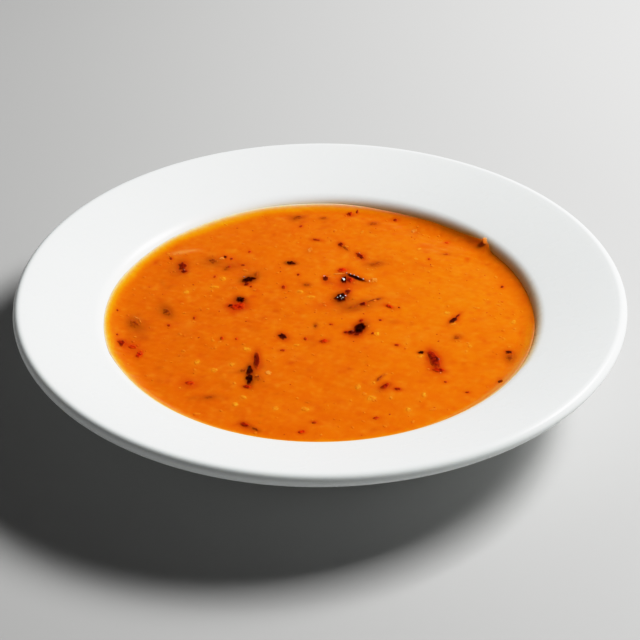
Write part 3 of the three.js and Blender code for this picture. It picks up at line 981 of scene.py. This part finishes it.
def make_soup(heights, colours):
    n = 284
    ux, uy, faces, border = disc(n)
    er, _ = edge_at(np.arctan2(uy, ux))
    x, y = ux * (er + 0.12), uy * (er + 0.12)  # just into the wall
    verts = [np.stack([x, y, heights.at(x, y)], 1)]
    tint = [colours.at(x, y)]
    faces = faces.tolist()
    # the sides and the floor, just inside the glaze
    bx, by = ux[border], uy[border]
    below = arc(SHOULDER_R, SHOULDER_Z, SHOULDER_ROUND - 0.12, 90 + 62, 90 + 64, 1)
    below += arc(FILLET_R, FILLET_Z, FILLET_ROUND + 0.12, -90 + WALL_SLOPE, -90, 6)
    below += [(30.0, FILLET_Z - FILLET_ROUND - 0.12)]
    last, total = border, len(x)
    for r, h in below:
        verts.append(np.stack([bx * r, by * r, np.full(len(bx), h)], 1))
        tint.append(np.tile(SOUP, (len(bx), 1)))
        ring = total + np.arange(len(border))
        total += len(border)
        for j in range(len(border)):
            k = (j + 1) % len(border)
            faces.append((int(last[k]), int(last[j]), int(ring[j]), int(ring[k])))
        last = ring
    verts.append(np.array([[0, 0, FILLET_Z - FILLET_ROUND - 0.12]]))
    tint.append(np.array([SOUP]))
    for j in range(len(border)):
        k = (j + 1) % len(border)
        faces.append((int(last[k]), int(last[j]), total))
    soup = make("soup", np.concatenate(verts), faces, [soup_material()], np.concatenate(tint))
    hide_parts("soup")
    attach(soup, "root")
    return soup


# --------------------------------------------------------------------- flecks


class Pile:
    """Closed little meshes joined into one piece."""

    def __init__(self):
        self.verts, self.faces, self.colours, self.count = [], [], [], 0

    def add(self, verts, faces, colours):
        self.verts.append(verts)
        self.colours.append(colours)
        self.faces += [tuple(i + self.count for i in f) for f in faces]
        self.count += len(verts)

    def finish(self, name, mat, slot="soup"):
        obj = make(
            name,
            np.concatenate(self.verts),
            self.faces,
            [mat],
            np.clip(np.concatenate(self.colours), 0, 1),
        )
        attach(obj, "root")
        return obj


def lens(rings, sides):
    """A closed unit disc of two skins: rho, theta, side (+1 top, 0 edge, -1 under) and faces."""
    rho, theta, side = [0.0], [0.0], [1.0]
    for i in range(1, rings + 1):
        for j in range(sides):
            rho.append(i / rings)
            theta.append(2 * math.pi * (j + 0.5 * (i % 2)) / sides)
            side.append(1.0 if i < rings else 0.0)
    top = len(rho)
    for i in range(rings - 1, 0, -1):
        for j in range(sides):
            rho.append(i / rings)
            theta.append(2 * math.pi * (j + 0.5 * (i % 2)) / sides)
            side.append(-1.0)
    rho.append(0.0)
    theta.append(0.0)
    side.append(-1.0)
    faces = []
    ring = lambda i, j: 1 + (i - 1) * sides + j % sides
    under = lambda i, j: (
        ring(rings, j) if i == rings else top + (rings - 1 - i) * sides + j % sides
    )
    for j in range(sides):
        faces.append((0, ring(1, j), ring(1, j + 1)))
        faces.append((len(rho) - 1, under(1, j + 1), under(1, j)))
    for i in range(1, rings):
        for j in range(sides):
            # the outer ring is half a step on where i + 1 is odd
            a, b = ring(i, j), ring(i, j + 1)
            c, d = ring(i + 1, j), ring(i + 1, j + 1)
            ua, ub, uc, ud = under(i, j), under(i, j + 1), under(i + 1, j), under(i + 1, j + 1)
            if (i + 1) % 2:
                faces += [(a, c, b), (b, c, d)]
                faces += [(ua, ub, uc), (ub, ud, uc)]
            else:
                faces += [(a, c, d), (a, d, b)]
                faces += [(ua, ud, uc), (ua, ub, ud)]
    return np.array(rho), np.array(theta), np.array(side), faces


LENSES = {}


def fleck(pile, fields, o, a, b, seed, dark, light, lift, dome, slope, grain, thick, ragged,
          rings=8, sides=28, curl=0.0, sink=0.35, wet=0.10, rim=None):
    """One irregular flake with half axes a and b (mm) round o, lying in the soup's surface.

    lift: height of its body over the level; dome: its crown; slope and grain: steepness and
    wavelength of its crumples; sink: how far its edge dips under; wet: the depth of soup
    film over which its colour fades into the soup's; rim: colour of its thinner edge."""
    heights, colours = fields
    rng = np.random.default_rng(seed)
    if (rings, sides) not in LENSES:
        LENSES[rings, sides] = lens(rings, sides)
    rho, theta, side, faces = LENSES[rings, sides]
    edge = np.ones_like(theta)
    for k in range(2, 8):
        edge += ragged / (k**0.6) * rng.normal() * np.cos(k * theta + rng.uniform(0, 6.3))
    edge = np.clip(edge, 0.45, 1.5)
    p = rho * edge
    x = o[0] + a[0] * p * np.cos(theta) + b[0] * p * np.sin(theta)
    y = o[1] + a[1] * p * np.cos(theta) + b[1] * p * np.sin(theta)
    base = heights.at(x, y)
    bumps = waves(x, y, grain, seed + 1, 14) * slope * grain / (2 * math.pi) * 1.4
    across = np.cos(theta - rng.uniform(0, 6.3)) * rho
    over = lift + dome * (1 - rho**2) - sink * rho**3
    over += bumps * (1 - 0.5 * rho**4) + curl * across * rho
    over += side * thick * np.sqrt(np.clip(1 - rho**4, 0, 1)) / 2
    tone = np.clip(0.5 + 0.5 * waves(x, y, grain * 1.6, seed + 2, 10), 0, 1)[:, None]
    tint = dark + (light - dark) * tone
    if rim is not None:
        tint = tint + (rim - tint) * smooth(0.5, 0.95, rho)[:, None]
    bare = smooth(-0.02, wet, over)[:, None]
    tint = colours.at(x, y) * (1 - bare) + tint * bare
    pile.add(np.stack([x, y, base + over], 1), faces, tint)


# kind: size, lift, dome, slope, grain, thickness, raggedness, rings, sides, curl, sink, wet
FORM = {
    CHAR: (1.16, 0.12, 0.16, 0.14, 1.3, 0.30, 0.17, 9, 32, 0.06, 0.42, 0.22),
    PEPPER: (1.18, 0.06, 0.12, 0.08, 1.6, 0.26, 0.15, 8, 28, 0.03, 0.30, 0.28),
    DOT: (1.10, 0.02, 0.07, 0.04, 1.0, 0.20, 0.12, 5, 16, 0.0, 0.18, 0.14),
    HERB: (1.08, 0.00, 0.05, 0.05, 1.8, 0.18, 0.18, 7, 24, 0.02, 0.20, 0.18),
    SKIN: (1.05, 0.02, 0.04, 0.08, 2.2, 0.16, 0.12, 7, 28, 0.03, 0.16, 0.12),
    PULP: (1.25, 0.01, 0.05, 0.03, 1.2, 0.18, 0.12, 6, 18, 0.0, 0.14, 0.14),
}


# where on the shoulder the splash's lump lies (angle round the plate and
# contact angle, degrees), half its width and half its depth, how proud its flat
# top stands (mm) and how far that top tips towards -Y (degrees)
LUMP = (35.2, 42.8, 1.7, 1.7, 0.16, 27.0)


# Drops of oil that stand on the flakes and catch the light: u, v, length, width
# (pixels of the 640 frame), angle, and whether the drop stands on charred skin.
DROPS = [
    (344.2, 280.6, 3.0, 1.7, -15, 1), (342.6, 278.8, 1.0, 0.6, 0, 1),
    (337.4, 298.5, 1.3, 0.5, 10, 1), (340.4, 297.2, 1.3, 0.8, 20, 1), (343.0, 298.6, 1.2, 0.7, -10, 1),
    (345.4, 296.4, 1.3, 0.6, 30, 1), (341.6, 300.0, 0.8, 0.4, 0, 1),
    (347.0, 273.8, 2.0, 0.35, -16, 1), (350.6, 274.9, 2.0, 0.4, -18, 1), (354.2, 276.1, 1.8, 0.35, -18, 1),
    (358.0, 277.6, 1.6, 0.3, -20, 1), (363.4, 279.5, 1.2, 0.65, 0, 1), (369.3, 281.1, 1.0, 0.3, 0, 0),
    (440.9, 372.6, 1.4, 0.55, 0, 0), (244.6, 276.9, 2.6, 0.3, 14, 1), (324.3, 276.3, 1.2, 0.45, 0, 1),
    (359.5, 252.4, 1.3, 0.4, -10, 0), (140.7, 354.2, 0.8, 0.3, 0, 0), (451.0, 325.1, 0.8, 0.3, 0, 0),
    (334.5, 277.4, 0.8, 0.25, 0, 0), (375.1, 280.1, 0.6, 0.3, 0, 0), (377.2, 334.5, 0.7, 0.25, 0, 0),
    (439.2, 359.5, 0.6, 0.25, 0, 1), (374.0, 383.5, 0.5, 0.2, 0, 0), (188.0, 381.5, 0.9, 0.4, 0, 0),
    (344.5, 250.0, 0.5, 0.25, 0, 0), (183.6, 270.5, 0.8, 0.2, 0, 1), (239.6, 298.6, 0.7, 0.25, 0, 1),
    (249.3, 369.6, 0.5, 0.2, 0, 1), (352.5, 331.5, 0.6, 0.2, 0, 1),
]  # fmt: skip
KEY = (26.0, 43.0, 1200.0)  # the key light: azimuth, elevation (degrees), distance (mm)


def drop(pile, fields, under, u, v, length, width, angle, on_char):
    """A drop with a nearly flat top, standing on a flake or on the soup."""
    o, a, b = ellipse_axes(u, v, length, width, angle)
    z = float(fields[0].at(o[0], o[1])) + 0.04
    near = under[np.hypot(under[:, 0] - o[0], under[:, 1] - o[1]) < 0.4]
    if len(near):
        z = max(z, near[:, 2].max())
    # its top leans so that the key light glints in it
    at, az, el = np.array([o[0], o[1], z]), rad(KEY[0]), rad(KEY[1])
    lamp = KEY[2] * np.array([math.cos(el) * math.cos(az), math.cos(el) * math.sin(az), math.sin(el)])
    to_eye, to_lamp = EYE - at, lamp + np.array([0, 0, 20.0]) - at
    up = to_eye / np.linalg.norm(to_eye) + to_lamp / np.linalg.norm(to_lamp)
    up /= np.linalg.norm(up)
    lay = lambda w: np.array([w[0], w[1], -(up[0] * w[0] + up[1] * w[1]) / up[2]])
    rho, theta, side, faces = lens(4, 14)
    size = math.sqrt(np.hypot(*a) * np.hypot(*b))
    dome = 0.05 * size * (1 - rho**2)
    thick = np.where(side >= 0, dome, -0.5 * np.sqrt(np.clip(1 - rho**2, 0, 1)))
    verts = at + (rho * np.cos(theta))[:, None] * lay(a)
    verts = verts + (rho * np.sin(theta))[:, None] * lay(b) + thick[:, None] * up
    tint = linear(60, 12, 2) if on_char else linear(240, 128, 20)
    pile.add(verts, faces, np.tile(tint / LIT, (len(verts), 1)))


def make_flecks(heights, colours):
    fields = (heights, colours)
    piles = {k: Pile() for k in (CHAR, PEPPER, DOT, HERB, SKIN, PULP)}
    for i, (kind, u, v, length, width, angle, *tone) in enumerate(FLECKS):
        o, a, b = ellipse_axes(u, v, length, width, angle)
        dark, light = (linear(*c) / LIT for c in LOOK[kind][:2])
        grow, lift, dome, slope, *rest = FORM[kind]
        if tone:
            dark, light = dark * tone[0], light * tone[0]
        rim = linear(138, 26, 0) / LIT if kind == CHAR else None
        fleck(piles[kind], fields, o, a * grow, b * grow, 100 + 7 * i, dark, light,
              lift, dome, slope, *rest, rim=rim)  # fmt: skip

    # the lump of pulp that the splash left on the wall, high enough to be lit
    around, along, across, deep, proud, tips = LUMP
    c, sn = math.cos(rad(around)), math.sin(rad(around))
    wall_r = SHOULDER_R - SHOULDER_ROUND * math.sin(rad(along))
    wall_z = SHOULDER_Z + SHOULDER_ROUND * math.cos(rad(along))
    up = np.array([0.0, -math.sin(rad(tips)), math.cos(rad(tips))])
    side = np.array([math.cos(rad(4)), 0.0, 0.0]) + np.array([0.0, math.sin(rad(4)), 0.0])
    back = np.cross(up, side)
    rho, theta, skin, faces = lens(8, 30)
    edge = 1 + 0.10 * np.cos(2 * theta + 1) + 0.09 * np.cos(3 * theta) + 0.04 * np.cos(5 * theta)
    # flat on top, rounded over at its edge, rooted in the wall
    thick = np.where(skin >= 0, proud, -0.9) * (1 - rho**3) ** 0.7
    base = np.array([wall_r * c, wall_r * sn, wall_z])
    verts = base + (rho * edge * np.cos(theta))[:, None] * side * across
    verts = verts + (rho * edge * np.sin(theta))[:, None] * back * deep
    verts = verts + thick[:, None] * up
    # painted light: the lump is paler on its side towards the key light
    painted_lit_side = smooth(-0.4, 1.0, rho * np.sin(theta + 0.9))[:, None]
    tint = linear(232, 124, 30) + (linear(250, 188, 112) - linear(232, 124, 30)) * painted_lit_side
    piles[PULP].add(verts, faces, tint / LIT)

    # the crumbs and pulp too small and too many to place one by one
    rng = np.random.default_rng(5)
    taken = np.array([on_level(f[1], f[2]) for f in FLECKS])

    def scattered(count, reach, clear):
        out = []
        while len(out) < count:
            r, t = reach * math.sqrt(rng.uniform()), rng.uniform(0, 2 * math.pi)
            p = np.array([r * math.cos(t), r * math.sin(t)])
            if np.min(np.hypot(*(taken - p).T)) > clear:
                out.append(p)
        return out

    for i, o in enumerate(scattered(40, 76, 3.0)):
        a, b = turned_axes(rng.uniform(0.25, 0.5), rng.uniform(1.0, 2.0), rng.uniform(0, math.pi))
        fleck(piles[DOT], fields, o, a, b, 3000 + 5 * i, linear(172, 48, 3) / LIT,
              linear(210, 80, 4) / LIT, 0.0, 0.05, 0.03, 0.8, 0.16, 0.12, 4, 10, 0, 0.13)  # fmt: skip
    for i, o in enumerate(scattered(300, 78, 1.4)):
        a, b = turned_axes(
            math.exp(rng.normal(math.log(0.5), 0.28)), rng.uniform(1.0, 1.8), rng.uniform(0, math.pi)
        )
        k = 0.75 * rng.beta(1.4, 2.4)
        light = colours.at(o[0], o[1]) * (1 - k) + linear(247, 140, 26) / LIT * k
        fleck(piles[PULP], fields, o, a, b, 6000 + 5 * i, light * 0.96, light, 0.0, 0.04,
              0.02, 1.0, 0.16, 0.12, 4, 12, 0, 0.1, 0.1)  # fmt: skip

    drops = Pile()
    under = np.concatenate([v for k in (CHAR, PEPPER) for v in piles[k].verts])
    for row in DROPS:
        drop(drops, fields, under, *row)

    red = (1.0, 0.3, 0.1)
    drops.finish("oil_drops", bit_material("oil_drops", 0.07, 0.0, red, 0.0, 0.6))
    piles[CHAR].finish("charred_skin", bit_material("charred_skin", 0.7, 0.0, red, 0.10, 0.0))
    piles[PEPPER].finish("pepper_skin", bit_material("pepper_skin", 0.65, 0.15, red, 0.08, 0.02))
    piles[DOT].finish("chilli_crumbs", bit_material("chilli_crumbs", 0.5, 0.15, red, 0.08))
    piles[HERB].finish("herb_pieces", bit_material("herb_pieces", 0.5, 0.15, red, 0.08))
    piles[SKIN].finish("onion_skins", bit_material("onion_skins", 0.35, 0.3, red, 0.05))
    piles[PULP].finish("pulp_bits", bit_material("pulp_bits", 0.55, 0.3, red, 0.05))


# ---------------------------------------------------------- floor, light, air


def make_stage():
    floor = make(
        "floor",
        [(-4000, -4000, 0), (4000, -4000, 0), (4000, 4000, 0), (-4000, 4000, 0)],
        [(0, 1, 2, 3)],
        [],
    )
    mat = bpy.data.materials.new("floor")
    n = Nodes(mat)
    where = n.add("ShaderNodeTexCoord")
    shader = principled(n, Roughness=0.7)
    drift = noise(n, where, 2.0, 2.0)
    tone = mix_colour(n, (0.455, 0.455, 0.45), (0.475, 0.475, 0.47))
    n.link(drift, "Fac", tone, 0)
    n.link(tone, 2, shader, "Base Color")
    # far out the floor fades into the pale air, so that no dark horizon is seen
    far = n.add("ShaderNodeVectorMath", operation="LENGTH")
    n.link(where, "Object", far, 0)
    gone = spread(n, far, "Value", 0.55, 1.5, 0, 1)
    gone.interpolation_type = "SMOOTHSTEP"
    clear = n.add("ShaderNodeBsdfTransparent")
    fade = n.add("ShaderNodeMixShader")
    n.link(gone, "Result", fade, 0)
    n.link(shader, "BSDF", fade, 1)
    n.link(clear, "BSDF", fade, 2)
    out = next(node for node in n.tree.nodes if node.bl_idname == "ShaderNodeOutputMaterial")
    n.link(fade, "Shader", out, "Surface")
    floor.data.materials.append(mat)


def area_light(name, azimuth, elevation, distance, wide, high, power):
    """A soft box that looks at the plate; azimuth from +X towards +Y."""
    data = bpy.data.lights.new(name, "AREA")
    data.shape, data.size, data.size_y, data.energy = "RECTANGLE", wide, high, power
    light = bpy.data.objects.new(name, data)
    bpy.context.scene.collection.objects.link(light)
    a, e = rad(azimuth), rad(elevation)
    at = Vector((math.cos(e) * math.cos(a), math.cos(e) * math.sin(a), math.sin(e)))
    light.location = at * distance + Vector((0, 0, 0.02))
    light.rotation_euler = at.to_track_quat("Z", "Y").to_euler()


# brightness of the air by height over the horizon (degrees)
SKY = [(-90, 0.30), (0, 0.42), (7, 0.40), (13, 0.16), (25, 0.06), (60, 0.03), (90, 0.05)]


def make_light():
    area_light("key", KEY[0], KEY[1], KEY[2] * MM, 0.52, 0.30, 23.5)
    world = bpy.data.worlds.new("studio")
    bpy.context.scene.world = world
    n = Nodes(world)
    where = n.add("ShaderNodeTexCoord")
    split = n.add("ShaderNodeSeparateXYZ")
    n.link(where, "Generated", split, "Vector")
    height = spread(n, split, "Z", -1, 1, 0, 1)
    ramp = n.add("ShaderNodeValToRGB")
    n.link(height, "Result", ramp, "Fac")
    e = ramp.color_ramp.elements
    while len(e) < len(SKY):
        e.new(0.5)
    for stop, (angle, value) in zip(e, SKY):
        stop.position = (math.sin(rad(angle)) + 1) / 2
        stop.color = (value, value, value, 1)
    back = n.add("ShaderNodeBackground", Strength=1.0)
    out = n.add("ShaderNodeOutputWorld")
    n.link(ramp, "Color", back, "Color")
    n.link(back, "Background", out, "Surface")


# how the picture's whites roll off: scene value, shown value (both linear)
SHOULDER = [
    (0.0, 0.0), (0.16, 0.16), (0.30, 0.31), (0.45, 0.49), (0.60, 0.66), (0.80, 0.81),
    (1.0, 0.885), (1.3, 0.95), (2.0, 1.0),
]  # fmt: skip


def make_film():
    view = bpy.context.scene.view_settings
    view.view_transform = "Standard"
    view.look = "None"
    view.use_curve_mapping = True
    mapping = view.curve_mapping
    top = SHOULDER[-1][0]
    mapping.white_level = (top, top, top)
    curve = mapping.curves[3]
    while len(curve.points) < len(SHOULDER):
        curve.points.new(0.5, 0.5)
    for point, (x, y) in zip(curve.points, SHOULDER):
        point.location = (x / top, y)
    mapping.update()


# ----------------------------------------------------------------------- run

make_camera()
make_plate()
fields = make_fields()
make_soup(*fields)
make_flecks(*fields)
make_stage()
make_light()
make_film()
